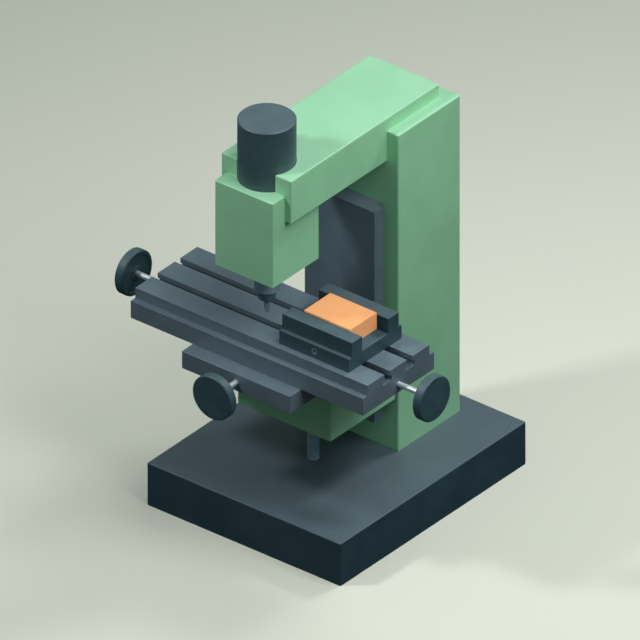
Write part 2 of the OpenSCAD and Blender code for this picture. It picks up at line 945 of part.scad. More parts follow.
// Sleeve that carries the spindle, with rack teeth cut into its back for the feed pinion
module quill() {
    pitch = PI * rack_m;
    gaps = ceil((quill_travel + 20) / pitch);
    half = pitch * 0.53 / 2;
    color(STEEL)
        difference() {
            rod_z(quill_r, quill_z, quill_z + quill_len, 0, axis_y);
            rod_z(spindle_r + 3, quill_z - cut, quill_z + quill_len + cut, 0, axis_y);
            for (z = [quill_z, quill_z + quill_len - brg_h])
                rod_z(brg_r, z - cut, z + brg_h + cut, 0, axis_y);
            block(
                [-pinion_w / 2 - 1, rack_y + rack_m, pinion_z - (gaps - 1.5) * pitch],
                [pinion_w / 2 + 1, rack_y + 20, pinion_z + 2.5 * pitch]);
            for (i = [-2:gaps - 2])
                translate([-pinion_w / 2 - 1, rack_y, pinion_z - i * pitch])
                    rotate([90, 0, 90])
                        linear_extrude(pinion_w + 2)
                            polygon([
                                [-1.25 * rack_m, -half + 1.25 * rack_m * tan(20)],
                                [-1.25 * rack_m, half - 1.25 * rack_m * tan(20)],
                                [rack_m + 0.1, half + (rack_m + 0.1) * tan(20)],
                                [rack_m + 0.1, -half - (rack_m + 0.1) * tan(20)]
                            ]);
        }
}

module spindle_bearings() {
    color(STEEL)
        for (z = [quill_z, quill_z + quill_len - brg_h])
            translate([0, axis_y, z])
                bearing(spindle_r + run_gap, brg_r, brg_h);
}

module spindle() {
    top = quill_z + quill_len;
    color(STEEL)
        translate([0, axis_y, 0]) {
            rod_z(20, quill_z - 25, quill_z, 0, 0);
            rod_z(spindle_r, quill_z - 0.5, top + 1, 0, 0);
            rod_z(collar_r, top + 0.5, top + 10, 0, 0);
            rod_z(spline_root, top, spline_top, 0, 0);
            translate([0, 0, top + 5])
                linear_extrude(spline_top - top - 5)
                    spline_outline(0);
        }
}

// Collet chuck: a body with wrench flats and a nose that holds the end mill
module collet_chuck() {
    top = quill_z - 0.5;
    low = top - chuck_h;
    color(DARK)
        translate([0, axis_y, 0])
            difference() {
                translate([0, 0, low])
                    rotate_extrude()
                        polygon([
                            [0, 0], [chuck_r - 7, 0], [chuck_r - 2, 6], [chuck_r - 2, 17],
                            [chuck_r - 4, 18], [chuck_r - 4, 20], [chuck_r, 21],
                            [chuck_r, chuck_h - 1], [chuck_r - 1, chuck_h], [0, chuck_h]
                        ]);
                rod_z(20, quill_z - 25, quill_z, 0, 0);
                rod_z(cutter_r, low - cut, low + 18, 0, 0);
                for (i = [0:5])
                    rotate([0, 0, i * 60])
                        block([chuck_r - 6, -3, low + 2], [chuck_r, 3, low + 15]);
            }
}

// End mill with four helical flutes
module end_mill() {
    low = quill_z - 0.5 - chuck_h;
    flute_h = 44;
    color(STEEL)
        translate([0, axis_y, low - cutter_out]) {
            linear_extrude(height = flute_h, twist = -75, slices = 12)
                difference() {
                    circle(r = cutter_r, $fn = 48);
                    for (i = [0:3])
                        rotate(90 * i)
                            translate([cutter_r * 0.98, cutter_r * 0.34])
                                circle(r = cutter_r * 0.42, $fn = 16);
                }
            rod_z(cutter_r, flute_h - 0.5, cutter_out + 18, 0, 0);
        }
}

// Feed pinion and its shaft, with a centre hole in the gear's end
module quill_pinion() {
    end = -head_w / 2 - quill_wheel_gap - quill_wheel_t + wheel_web;
    color(STEEL)
        difference() {
            union() {
                rod_x(pinion_shaft_r, end, pinion_w / 2, pinion_y, pinion_z);
                translate([-pinion_w / 2, pinion_y, pinion_z])
                    rotate([0, 90, 0])
                        rotate(-90)
                            linear_extrude(pinion_w)
                                polygon(gear_outline(pinion_teeth, rack_m, 1, 0.94));
            }
            rod_x(3, pinion_w / 2 - 12, pinion_w / 2 + cut, pinion_y, pinion_z);
        }
}

module quill_handwheel() {
    color(DARK)
        translate([-head_w / 2 - quill_wheel_gap, pinion_y, pinion_z])
            rotate([0, -90, 0])
                handwheel(quill_wheel_r, quill_wheel_t, pinion_shaft_r);
}

// KNEE

function keeper_bolt_spots() =
    [for (x = [-1, 1], i = [0:3])
        [x * (knee_w / 2 - keeper_bolt_in), knee_z + keeper_bolt_low + i * (knee_h - 2 * keeper_bolt_low) / 3]];

module knee_casting() {
    inner = knee_w / 2 - knee_wall;
    wing_back = col_front - neck_d + way_gap;
    color(GREEN)
        difference() {
            union() {
                difference() {
                    casting([-knee_w / 2, knee_front, knee_z], [knee_w / 2, knee_back, knee_top], edge_r);
                    block(
                        [-inner, knee_front + knee_wall, knee_z - cut],
                        [inner, way_front - knee_wall, knee_top - knee_wall]);
                }
                // Web that carries the elevating nut, and the boss of the crank's bushing
                block([-inner - cut, lift_y - 65, knee_z], [inner + cut, lift_y + 65, knee_z + web_t]);
                rod_x(34, -inner - cut, -inner + 30, lift_y, crank_z);
                translate([0, 10, knee_top])
                    rotate([90, 0, 0])
                        linear_extrude(10 - knee_front)
                            dovetail(rail_w, rail_h);
            }
            // Channel for the way plate and the gib beside it
            block(
                [-way_w / 2 - gib_t - 2 * way_gap, way_front - way_gap, knee_z - cut],
                [way_w / 2 + way_gap, knee_back + cut, knee_top + cut]);
            block(
                [-knee_w / 2 - cut, wing_back, knee_z - cut],
                [knee_w / 2 + cut, knee_back + cut, knee_top + cut]);
            rod_z(nut_r + run_gap, knee_z - cut, knee_z + web_t + cut, 0, lift_y);
            rod_x(22, -knee_w / 2 - cut, -inner + 31, lift_y, crank_z);
            for (p = keeper_bolt_spots())
                rod_y(small_r, wing_back - 45, wing_back + cut, p[0], p[1]);
        }
}

// Bars behind the way plate's wings that keep the knee on the column
module knee_keepers() {
    wing_back = col_front - neck_d + way_gap;
    inner = way_w / 2 - wing_w + way_gap + 1;
    color(SLATE)
        difference() {
            for (x = [-1, 1])
                translate([x * (inner + knee_w / 2) / 2, 0, 0])
                    block(
                        [-(knee_w / 2 - inner) / 2, wing_back, knee_z],
                        [(knee_w / 2 - inner) / 2, knee_back, knee_top - edge_r]);
            for (p = keeper_bolt_spots()) {
                rod_y(small_r + bolt_gap, wing_back - cut, knee_back + cut, p[0], p[1]);
                rod_y(small_head_r + 1, knee_back - small_head_h - 1, knee_back + cut, p[0], p[1]);
            }
        }
}

module keeper_screws() {
    color(STEEL)
        for (p = keeper_bolt_spots())
            translate([p[0], knee_back - small_head_h - 1, p[1]])
                rotate([90, 0, 0])
                    small_bolt(50);
}

module knee_gib() {
    color(BRONZE)
        block(
            [-way_w / 2 - gib_t - way_gap, way_front + 1, knee_z + 2],
            [-way_w / 2 - way_gap, col_front - neck_d - 1, knee_top - 2]);
}

// Race under the elevating nut's collar
module thrust_bearing() {
    color(STEEL)
        translate([0, lift_y, knee_z + web_t])
            bearing(nut_r + run_gap, thrust_r, thrust_h);
}

module crank_bushing() {
    inner = knee_w / 2 - knee_wall;
    color(BRONZE)
        difference() {
            union() {
                rod_x(22, -knee_w / 2, -inner + 30, lift_y, crank_z);
                rod_x(28, -knee_w / 2 - 6, -knee_w / 2, lift_y, crank_z);
            }
            rod_x(crank_r + run_gap, -knee_w / 2 - 10, -inner + 40, lift_y, crank_z);
        }
}

nut_y = knee_front + 40;

// Feed nut of height h with its bore along Y at screw_z, standing on z = 0
module feed_nut(h, screw_z) {
    difference() {
        casting([-nut_w / 2, -nut_len / 2, 0], [nut_w / 2, nut_len / 2, h], 3);
        rod_y(screw_r + run_gap, -nut_len, nut_len, 0, screw_z);
    }
}

module cross_feed_nut() {
    color(BRONZE)
        translate([0, nut_y, rail_top])
            feed_nut(cross_z + nut_half - rail_top, cross_z - rail_top);
}

// Nut that climbs the fixed screw: journal in the web, collar on the bearing, miter gear on top
module elevating_nut() {
    gear_z = crank_z - miter_r;
    collar_z = knee_z + web_t + thrust_h;
    color(BRONZE)
        translate([0, lift_y, 0])
            difference() {
                union() {
                    rod_z(nut_r, knee_z + 4, gear_z, 0, 0);
                    rod_z(thrust_r - 4, collar_z, collar_z + 16, 0, 0);
                    translate([0, 0, gear_z - 1])
                        cylinder(r = miter_r - 8, h = 1.5);
                    translate([0, 0, gear_z])
                        miter_gear();
                }
                rod_z(lift_r + run_gap, knee_z, gear_z + miter_face + cut, 0, 0);
            }
}

// Crank shaft with the miter pinion that drives the nut
module crank_shaft() {
    end = -knee_w / 2 - crank_shaft_out - wheel_t + wheel_web;
    color(STEEL) {
        rod_x(crank_r, end, -miter_r + miter_face, lift_y, crank_z);
        rod_x(30, -miter_r - 14, -miter_r + 1, lift_y, crank_z);
        translate([-miter_r, lift_y, crank_z])
            rotate([0, 90, 0])
                rotate(180 / miter_teeth)
                    miter_gear();
    }
}

module knee_handwheel() {
    color(DARK)
        translate([-knee_w / 2 - crank_shaft_out, lift_y, crank_z])
            rotate([0, -90, 0])
                handwheel(wheel_r, wheel_t, crank_r);
}

// SADDLE

module saddle_casting() {
    deep = rail_h + groove_gap;
    ceiling = cross_z + nut_half + 4;
    channel_back = table_y + saddle_d / 2 - 90;
    color(SLATE)
        difference() {
            union() {
                casting(
                    [-saddle_w / 2, saddle_front, knee_top],
                    [saddle_w / 2, saddle_front + saddle_d, saddle_top], 2);
                translate([-saddle_w / 2, table_y, saddle_top - cut])
                    rotate([90, 0, 90])
                        linear_extrude(saddle_w)
                            union() {
                                translate([0, cut])
                                    dovetail(rail_w, rail_h);
                                square([rail_w - 2 * rail_h * slope, 2 * cut], center = true);
                            }
            }
            // Groove for the knee's rail, channel for the cross screw and its nut, seat for the bracket
            translate([0, saddle_front + saddle_d + cut, knee_top])
                rotate([90, 0, 0])
                    linear_extrude(saddle_d + 2 * cut)
                        dovetail_groove(rail_w, rail_h, gib_t + 2 * way_gap);
            block(
                [-channel_w / 2, saddle_front - cut, knee_top + deep - cut],
                [channel_w / 2, channel_back, ceiling]);
            block(
                [-rail_w / 2 - gib_t - 10, saddle_front - cut, knee_top - cut],
                [rail_w / 2 + gib_t + 10, saddle_front + bracket_t, saddle_top - 8]);
        }
}

module saddle_gib() {
    color(BRONZE)
        translate([0, saddle_front + saddle_d - 2, knee_top])
            rotate([90, 0, 0])
                linear_extrude(saddle_d - bracket_t - 4)
                    gib_outline(rail_w, rail_h);
}

// Plate that closes the saddle's front and carries the cross screw
module cross_bracket() {
    color(SLATE)
        difference() {
            block(
                [-rail_w / 2 - gib_t - 10, saddle_front, knee_top + 0.5],
                [rail_w / 2 + gib_t + 10, saddle_front + bracket_t, saddle_top - 8]);
            rod_y(screw_r + run_gap, saddle_front - cut, saddle_front + bracket_t + cut, 0, cross_z);
        }
}

module table_feed_nut() {
    color(BRONZE)
        translate([0, table_y, saddle_top + rail_h])
            rotate([0, 0, 90])
                feed_nut(feed_z - saddle_top - rail_h + nut_half, feed_z - saddle_top - rail_h);
}

module table_gib() {
    color(BRONZE)
        translate([-saddle_w / 2 + 2, table_y, saddle_top])
            rotate([90, 0, 90])
                linear_extrude(saddle_w - 4)
                    gib_outline(rail_w, rail_h);
}

module cross_feed_screw() {
    color(STEEL) {
        rod_y(screw_r, saddle_front - cross_shaft - wheel_t + wheel_web, nut_y + 150, 0, cross_z);
        rod_y(nut_half, saddle_front + bracket_t, saddle_front + bracket_t + 14, 0, cross_z);
    }
}

module cross_handwheel() {
    color(DARK)
        translate([0, saddle_front - cross_shaft, cross_z])
            rotate([90, 0, 0])
                handwheel(wheel_r, wheel_t, screw_r);
}

// TABLE

function slot_ys() = [table_y - slot_pitch / 2, table_y + slot_pitch / 2];

module table_casting() {
    groove = nut_w / 2 + 2;
    color(SLATE)
        difference() {
            union() {
                block(
                    [-table_end, table_y - slab_d / 2, saddle_top],
                    [table_end, table_y + slab_d / 2, slab_top]);
                block(
                    [-table_end, table_y - top_d / 2, slab_top - cut],
                    [table_end, table_y + top_d / 2, table_top]);
            }
            for (y = slot_ys()) {
                block([-table_end - cut, y - slot_w / 2, slab_top], [table_end + cut, y + slot_w / 2, table_top + cut]);
                block([-table_end - cut, y - foot_w / 2, slab_top], [table_end + cut, y + foot_w / 2, slab_top + foot_h]);
            }
            translate([-table_end - cut, table_y, saddle_top])
                rotate([90, 0, 90])
                    linear_extrude(table_w + 2 * cut)
                        dovetail_groove(rail_w, rail_h, gib_t + 2 * way_gap);
            block(
                [-table_end - cut, table_y - groove, saddle_top + rail_h],
                [table_end + cut, table_y + groove, feed_z + nut_half + 2]);
            for (x = [-1, 1])
                translate([x * (table_end - bracket_t / 2 + cut / 2), 0, 0])
                    block(
                        [-(bracket_t + cut) / 2, table_y - rail_w / 2 - gib_t - 10, saddle_top - cut],
                        [(bracket_t + cut) / 2, table_y + rail_w / 2 + gib_t + 10, slab_top - 8]);
        }
}

module table_brackets() {
    color(SLATE)
        for (x = [-1, 1])
            difference() {
                translate([x * (table_end - bracket_t / 2), 0, 0])
                    block(
                        [-bracket_t / 2, table_y - rail_w / 2 - gib_t - 10, saddle_top + 0.5],
                        [bracket_t / 2, table_y + rail_w / 2 + gib_t + 10, slab_top - 8]);
                rod_x(screw_r + run_gap, -table_end - cut, table_end + cut, table_y, feed_z);
            }
}

module table_feed_screw() {
    out = table_end + table_shaft + wheel_t - wheel_web;
    color(STEEL) {
        rod_x(screw_r, -out, out, table_y, feed_z);
        for (x = [-1, 1])
            translate([x * (table_end - bracket_t - 7), 0, 0])
                rod_x(nut_half, -7, 7, table_y, feed_z);
    }
}

module table_handwheels() {
    color(DARK)
        for (side = [-1, 1])
            translate([side * (table_end + table_shaft), table_y, feed_z])
                rotate([0, side * 90, 0])
                    handwheel(wheel_r, wheel_t, screw_r);
}

// VISE

function vise_bolt_spots() = [for (x = [-1, 1], y = slot_ys()) [vise_x + x * vise_bolt_x, y]];

module vise_body() {
    front = table_y - vise_d / 2;
    color(DARK)
        difference() {
            union() {
                block([vise_left, front, table_top], [vise_left + vise_w, front + vise_d, bed_top]);
                block(
                    [vise_left, table_y + jaw_gap_y, bed_top - cut],
                    [vise_left + vise_w, table_y + jaw_gap_y + jaw_t, bed_top + jaw_h]);
            }
            block(
                [vise_x - lug_w / 2 - 0.1, front + 19, vise_screw_z - 18],
                [vise_x + lug_w / 2 + 0.1, table_y + jaw_gap_y - 15, bed_top + cut]);
            rod_y(vise_screw_r + run_gap, front - cut, table_y + jaw_gap_y - 5, vise_x, vise_screw_z);
            rod_y(15 + run_gap, front - cut, front + 8, vise_x, vise_screw_z);
            for (p = vise_bolt_spots()) {
                rod_z(bolt_r + bolt_gap, table_top - cut, bed_top, p[0], p[1]);
                rod_z(bolt_head_r + 1, bed_top - bolt_head_h - 2, bed_top + cut, p[0], p[1]);
            }
        }
}

// Tee nuts in the table's slots and the bolts that draw the vise down on them
module vise_tee_bolts() {
    shank = bed_h + ridge_h - bolt_head_h - 14;
    color(STEEL)
        for (p = vise_bolt_spots()) {
            translate([p[0], p[1], bed_top - bolt_head_h - 2])
                rotate([180, 0, 0])
                    bolt(bolt_r, shank, bolt_head_r, bolt_head_h);
            difference() {
                union() {
                    block([p[0] - 25, p[1] - foot_w / 2 + 1, slab_top + 1],
                        [p[0] + 25, p[1] + foot_w / 2 - 1, slab_top + foot_h]);
                    block([p[0] - 25, p[1] - slot_w / 2 + 0.5, slab_top + foot_h - cut],
                        [p[0] + 25, p[1] + slot_w / 2 - 0.5, table_top - 4]);
                }
                rod_z(bolt_r + bolt_gap, slab_top, table_top, p[0], p[1]);
            }
        }
}

module vise_moving_jaw() {
    color(DARK)
        difference() {
            union() {
                block(
                    [vise_left, table_y - jaw_gap_y - jaw_t, bed_top],
                    [vise_left + vise_w, table_y - jaw_gap_y, bed_top + jaw_h]);
                block(
                    [vise_x - lug_w / 2, table_y - jaw_gap_y - 5 - lug_d, vise_screw_z - 17],
                    [vise_x + lug_w / 2, table_y - jaw_gap_y - 5, bed_top + cut]);
            }
            rod_y(vise_screw_r + run_gap, table_y - vise_d, table_y, vise_x, vise_screw_z);
        }
}

module vise_screw() {
    front = table_y - vise_d / 2;
    color(STEEL)
        difference() {
            union() {
                rod_y(vise_screw_r, front + 1, table_y + jaw_gap_y - 6, vise_x, vise_screw_z);
                rod_y(15, front + 0.5, front + 8, vise_x, vise_screw_z);
            }
            translate([vise_x, front + 12, vise_screw_z])
                rotate([90, 0, 0])
                    cylinder(r = 8, h = 13, $fn = 6);
        }
}

module workpiece() {
    color(ORANGE)
        block(
            [vise_x - work_w / 2, table_y - work_d / 2, bed_top],
            [vise_x + work_w / 2, table_y + work_d / 2, bed_top + work_h]);
}

base_casting();
column_casting();
frame_bolts();
rear_cover();
rear_cover_screws();
way_plate();
elevating_screw();
ram_keepers();
ram_lock_screws();
control_box();
start_button();
stop_button();
ram_casting();
ram_end_cap();
ram_screws();
head_housing();
motor_plate();
motor_housing();
motor_end_shields();
motor_stator();
fan_cowl();
terminal_box();
drive_bearings();
motor_shaft();
motor_rotor();
cooling_fan();
quill();
spindle_bearings();
spindle();
collet_chuck();
end_mill();
quill_pinion();
quill_handwheel();
knee_casting();
knee_keepers();
keeper_screws();
knee_gib();
thrust_bearing();
crank_bushing();
cross_feed_nut();
elevating_nut();
crank_shaft();
knee_handwheel();
saddle_casting();
saddle_gib();
cross_bracket();
table_feed_nut();
table_gib();
cross_feed_screw();
cross_handwheel();
table_casting();
table_brackets();
table_feed_screw();
table_handwheels();
vise_body();
vise_tee_bolts();
vise_moving_jaw();
vise_screw();
workpiece();
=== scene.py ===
# %% [markdown]
# # Dressing a knee mill
#
# A knee mill is a standing milling machine. The work sits on a long table, the table on a
# saddle, and the saddle on a knee that climbs the column's front. A ram on top of the column
# carries the head with the motor and the spindle.
#
# The solid model already holds every piece at its real size, so this lesson adds no shape
# that would change a size. It gives each surface its finish, cuts real threads on the feed
# screws, hangs a thin guard behind the ram, and sets up the camera and the light. The solids
# come in first, because every other piece is placed by them.

# %% Load the solid model
import math

import bmesh
import bpy
import numpy as np
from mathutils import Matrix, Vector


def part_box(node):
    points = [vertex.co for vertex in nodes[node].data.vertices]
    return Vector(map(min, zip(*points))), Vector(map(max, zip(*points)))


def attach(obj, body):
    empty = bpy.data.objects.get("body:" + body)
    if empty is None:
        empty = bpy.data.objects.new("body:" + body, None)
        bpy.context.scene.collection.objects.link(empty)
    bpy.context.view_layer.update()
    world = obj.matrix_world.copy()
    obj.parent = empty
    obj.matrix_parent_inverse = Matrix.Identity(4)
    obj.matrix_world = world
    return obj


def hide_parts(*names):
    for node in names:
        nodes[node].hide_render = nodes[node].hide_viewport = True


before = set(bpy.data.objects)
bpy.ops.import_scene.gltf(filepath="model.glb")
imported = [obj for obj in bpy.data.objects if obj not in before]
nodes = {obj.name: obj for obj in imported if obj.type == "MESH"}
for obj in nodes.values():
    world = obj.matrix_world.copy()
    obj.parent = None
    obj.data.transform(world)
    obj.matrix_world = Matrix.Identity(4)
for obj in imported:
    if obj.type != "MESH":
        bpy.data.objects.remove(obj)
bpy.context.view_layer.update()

# %% [markdown]
# ## Camera
#
# The machine is seen from its front right corner, from above, with no perspective: upright
# edges stay parallel. An orthographic camera gives that. Its place along the line of sight
# doesn't matter, so it stands well back, and its scale is the width of the view in metres.
# The aim point is worked out from the two directions that lie in the picture plane.

# %% Camera
AZIMUTH = math.radians(38.63)
ELEVATION = math.radians(31.93)
VIEW_WIDTH = 2.583
AIM_RIGHT = -0.0666
AIM_UP = 0.662
STAND_BACK = 9.0
FAR_LIMIT = 60.0

right = np.array([math.cos(AZIMUTH), math.sin(AZIMUTH), 0.0])
back = np.array([
    math.sin(AZIMUTH) * math.cos(ELEVATION),
    -math.cos(AZIMUTH) * math.cos(ELEVATION),
    math.sin(ELEVATION),
])
up = np.cross(back, right)

camera_data = bpy.data.cameras.new("view")
camera_data.type = "ORTHO"
camera_data.ortho_scale = VIEW_WIDTH
camera_data.clip_end = FAR_LIMIT
camera = bpy.data.objects.new("view", camera_data)
bpy.context.scene.collection.objects.link(camera)
camera.location = right * AIM_RIGHT + up * AIM_UP + back * STAND_BACK
camera.rotation_euler = (math.pi / 2 - ELEVATION, 0.0, AZIMUTH)
bpy.context.scene.camera = camera
print("view", VIEW_WIDTH, "m wide")

# %% [markdown]
# ## Surfaces from numpy
#
# A smooth piece can be modelled by hand, or written as a formula. Here a formula is used: a
# grid of points is worked out as whole arrays, and one call hands it to Blender. The same
# helper serves the floor, the screws and the guard, which keeps every later step short.

# %% A grid of points becomes a mesh
def grid_mesh(name, points, smooth=True):
    """Mesh from an array of rows by columns of points: each cell of the grid is one face."""
    rows, columns = points.shape[:2]
    index = np.arange(rows * columns).reshape(rows, columns)
    faces = np.stack(
        [index[:-1, :-1], index[:-1, 1:], index[1:, 1:], index[1:, :-1]], -1
    ).reshape(-1, 4)
    mesh = bpy.data.meshes.new(name)
    mesh.from_pydata(points.reshape(-1, 3).tolist(), [], faces.tolist())
    mesh.polygons.foreach_set("use_smooth", np.full(len(faces), smooth))
    piece = bpy.data.objects.new(name, mesh)
    bpy.context.scene.collection.objects.link(piece)
    return piece


# %% [markdown]
# ## Floor and light
#
# The floor is a pale matt sheet that fills the view. The light is soft studio light from
# three lamps above head height: a small one at the front left, whose edge of shadow falls on
# the way plate and behind the motor, and two large ones on the right and behind, which light
# the tops and the right sides. A dim even sky fills the rest. Lamps with an area give the
# soft edges that a point can't. The floor throws no light back up, so that the shaded sides
# keep their depth. The lamps stand where the shadows and the brightness of the faces in the
# photograph put them: a top face has all three, the right side mostly one.

# %% Floor
FLOOR_HALF = 14.0
FLOOR_CELLS = 9

steps = np.linspace(-FLOOR_HALF, FLOOR_HALF, FLOOR_CELLS)
floor_x, floor_y = np.meshgrid(steps, steps)
floor = grid_mesh("floor", np.stack([floor_x, floor_y, np.zeros_like(floor_x)], -1))
print("floor", 2 * FLOOR_HALF, "m across")


# %% Lamps
def lamp(name, place, aim, size, power):
    """Square area lamp at place, turned so that its face looks at aim. Power is in watts."""
    data = bpy.data.lights.new(name, "AREA")
    data.shape = "SQUARE"
    data.size = size
    data.energy = power
    made = bpy.data.objects.new(name, data)
    bpy.context.scene.collection.objects.link(made)
    away = np.array(place, float) - np.array(aim, float)
    away /= np.linalg.norm(away)
    made.location = place
    made.rotation_euler = (math.acos(away[2]), 0.0, math.atan2(away[0], -away[1]))
    return made


WORK = (0.0, -0.1, 1.0)
lamp("front_left_lamp", (-2.07, -2.85, 4.69), WORK, 0.6, 80.0)
lamp("right_lamp", (3.36, -0.47, 5.32), WORK, 3.0, 154.0)
lamp("back_lamp", (1.29, 3.72, 6.19), WORK, 1.83, 146.0)
floor.visible_diffuse = False
floor.visible_glossy = False
bpy.context.scene.view_settings.view_transform = "Standard"
print("three lamps")

# %% [markdown]
# ## Nodes in a few words
#
# A finish is a small network of shader nodes. Written out in full, each would take a page,
# so a few helpers make a node and join it in one line. A value that is a socket is joined,
# and a plain number is set on the socket itself. Three kinds of node do most of the work:
# sums and products, a ramp with soft ends, and noise.

# %% Helpers for shader nodes
def add(tree, kind, inputs=None, **settings):
    """New node of that kind. inputs maps a socket's name or number to a value or a socket."""
    made = tree.nodes.new(kind)
    for key, value in settings.items():
        setattr(made, key, value)
    for key, value in (inputs or {}).items():
        if isinstance(value, bpy.types.NodeSocket):
            tree.links.new(value, made.inputs[key])
        else:
            made.inputs[key].default_value = value
    return made


def new_group(name, inputs, outputs):
    """Empty node group with float or vector sockets. Returns its tree, inputs and outputs."""
    tree = bpy.data.node_groups.new(name, "ShaderNodeTree")
    for label, value in inputs.items():
        kind = "NodeSocketVector" if value is None else "NodeSocketFloat"
        made = tree.interface.new_socket(label, in_out="INPUT", socket_type=kind)
        if value is not None:
            made.default_value = value
    for label in outputs:
        tree.interface.new_socket(label, in_out="OUTPUT", socket_type="NodeSocketFloat")
    return tree, add(tree, "NodeGroupInput"), add(tree, "NodeGroupOutput")


def maths(tree, operation, first, second=0.0, clamp=False):
    """Output of a Math node."""
    made = add(tree, "ShaderNodeMath", {0: first, 1: second}, operation=operation)
    made.use_clamp = clamp
    return made.outputs[0]


def times(tree, first, second):
    """Product of two values, each a socket or a number."""
    return maths(tree, "MULTIPLY", first, second)


def ramp(tree, value, low, high, to_low=0.0, to_high=1.0):
    """Output of a Map Range node with soft ends: low becomes to_low and high to_high."""
    return add(
        tree, "ShaderNodeMapRange",
        {"Value": value, "From Min": low, "From Max": high, "To Min": to_low, "To Max": to_high},
        interpolation_type="SMOOTHSTEP",
    ).outputs[0]


def noise(tree, vector, scale, detail=2.0, roughness=0.5):
    """Grey output of a Noise Texture read at vector."""
    return add(
        tree, "ShaderNodeTexNoise",
        {"Vector": vector, "Scale": scale, "Detail": detail, "Roughness": roughness},
    ).outputs[0]


# %% [markdown]
# ## Sky
#
# The sky does three jobs, so it is split by the kind of ray. It fills the shadows dimly from
# above and hardly at all from below, which keeps the knee's front dark. Its light is a cool
# green, as the shadows in the photograph are. Gloss sees a brighter upper half, as under a
# studio's white ceiling. A low camera sees a pale backdrop behind the floor's edge.

# %% Sky
FILL = 0.15
UNDERSIDE = 0.03
CEILING = 0.25
BACKDROP = 0.6
HORIZON = 0.2
TINT = (0.82, 1.0, 0.95, 1.0)

sky = bpy.data.worlds.new("sky")
sky.use_nodes = True
sky_tree = sky.node_tree
path = add(sky_tree, "ShaderNodeLightPath").outputs
looking = add(sky_tree, "ShaderNodeTexCoord").outputs["Generated"]
upward = add(sky_tree, "ShaderNodeSeparateXYZ", {0: looking}).outputs[2]
plain = ramp(sky_tree, upward, -HORIZON, HORIZON, UNDERSIDE, FILL)
ceiling = ramp(sky_tree, upward, -HORIZON, HORIZON, 0.0, CEILING - FILL)
in_gloss = times(sky_tree, path["Is Glossy Ray"], ceiling)
in_view = times(sky_tree, path["Is Camera Ray"], BACKDROP - FILL)
extra = maths(sky_tree, "ADD", in_gloss, in_view)
sky_shader = sky_tree.nodes["Background"]
sky_shader.inputs["Color"].default_value = TINT
sky_tree.links.new(maths(sky_tree, "ADD", extra, plain), sky_shader.inputs["Strength"])
bpy.context.scene.world = sky
print("sky in", len(sky_tree.nodes), "nodes")

# %% [markdown]
# ## Wear along the edges
#
# Paint thins and iron brightens where hands, chips and rags rub, and that is at the edges.
# It could be painted by hand, but a mask from the shape itself follows every edge of every
# piece. A Bevel node rounds the surface direction near an edge. Where the rounded direction
# leaves the true one, the surface is close to an edge. Noise breaks the line up, because
# real wear comes in patches.

# %% Edge wear group
BENT_LITTLE, BENT_MUCH = 0.03, 0.22
PATCH_START, PATCH_FULL = -0.15, 0.1

wear_group, given, result = new_group(
    "edge wear", {"Vector": None, "Width": 0.003, "Patches": 22.0, "Amount": 0.5}, ["Wear"]
)
rounded = add(wear_group, "ShaderNodeBevel", {"Radius": given.outputs["Width"]}, samples=4)
surface = add(wear_group, "ShaderNodeNewGeometry")
facing = add(
    wear_group, "ShaderNodeVectorMath",
    {0: rounded.outputs[0], 1: surface.outputs["Normal"]}, operation="DOT_PRODUCT",
).outputs["Value"]
bent = maths(wear_group, "SUBTRACT", 1.0, facing)
edge = ramp(wear_group, bent, BENT_LITTLE, BENT_MUCH)
patch = noise(
    wear_group, given.outputs["Vector"], given.outputs["Patches"], detail=5.0, roughness=0.65
)
limit = maths(wear_group, "SUBTRACT", 0.95, times(wear_group, given.outputs["Amount"], 0.6))
above = maths(wear_group, "SUBTRACT", patch, limit)
kept = ramp(wear_group, above, PATCH_START, PATCH_FULL)
wear_group.links.new(times(wear_group, edge, kept), result.inputs["Wear"])
print("group", wear_group.name)

# %% [markdown]
# ## Painted shade and dirt in the corners
#
# An Ambient Occlusion node finds the hidden places on a piece by itself: inner corners,
# below ledges and round bolt heads. There the colour darkens towards a darker copy of the
# body, which is painted shade, and the gloss dulls, as oil and dust that a rag doesn't reach
# would dull it. Slow noise keeps the mark from looking like a drawn line.

# %% Corner shade and dirt group
OPEN, CLOSED = 0.95, 0.45
CLOUD_SCALE = 9.0
THINNEST = 0.35

corner_shade_group, given, result = new_group(
    "corner dirt", {"Vector": None, "Reach": 0.03, "Amount": 0.5}, ["Dirt"]
)
hidden = add(
    corner_shade_group, "ShaderNodeAmbientOcclusion", {"Distance": given.outputs["Reach"]},
    samples=4, only_local=True,
).outputs["AO"]
# Painted shade: the occlusion marks the hidden corners that get darkened.
corner = ramp(corner_shade_group, hidden, OPEN, CLOSED)
cloud = noise(corner_shade_group, given.outputs["Vector"], CLOUD_SCALE, detail=4.0, roughness=0.6)
cloud = ramp(corner_shade_group, cloud, 0.3, 0.7, THINNEST, 1.0)
shade_and_dirt = times(corner_shade_group, times(corner_shade_group, corner, cloud), given.outputs["Amount"])
corner_shade_group.links.new(shade_and_dirt, result.inputs["Dirt"])
print("group", corner_shade_group.name)

# %% [markdown]
# ## Dust and painted sheen on top faces
#
# Whatever faces up is mixed towards a pale grey. Part of it is the fine dust and dried
# coolant that settle there and dull it, and part is a painted sheen that stands in for the
# gloss the lamps put on the tops, so the dark base's top shows lighter and greyer than its
# sides. The mask is the upward part of the surface direction, broken up by slow noise.

# %% Dust and sheen group
SLOPING, LEVEL = 0.55, 0.95
DRIFT_SCALE = 5.0
BLOWN_OFF = 0.82

dust_sheen_group, given, result = new_group("top dust", {"Vector": None, "Amount": 0.2}, ["Dust"])
facing_up = add(
    dust_sheen_group, "ShaderNodeSeparateXYZ",
    {0: add(dust_sheen_group, "ShaderNodeNewGeometry").outputs["Normal"]},
).outputs[2]
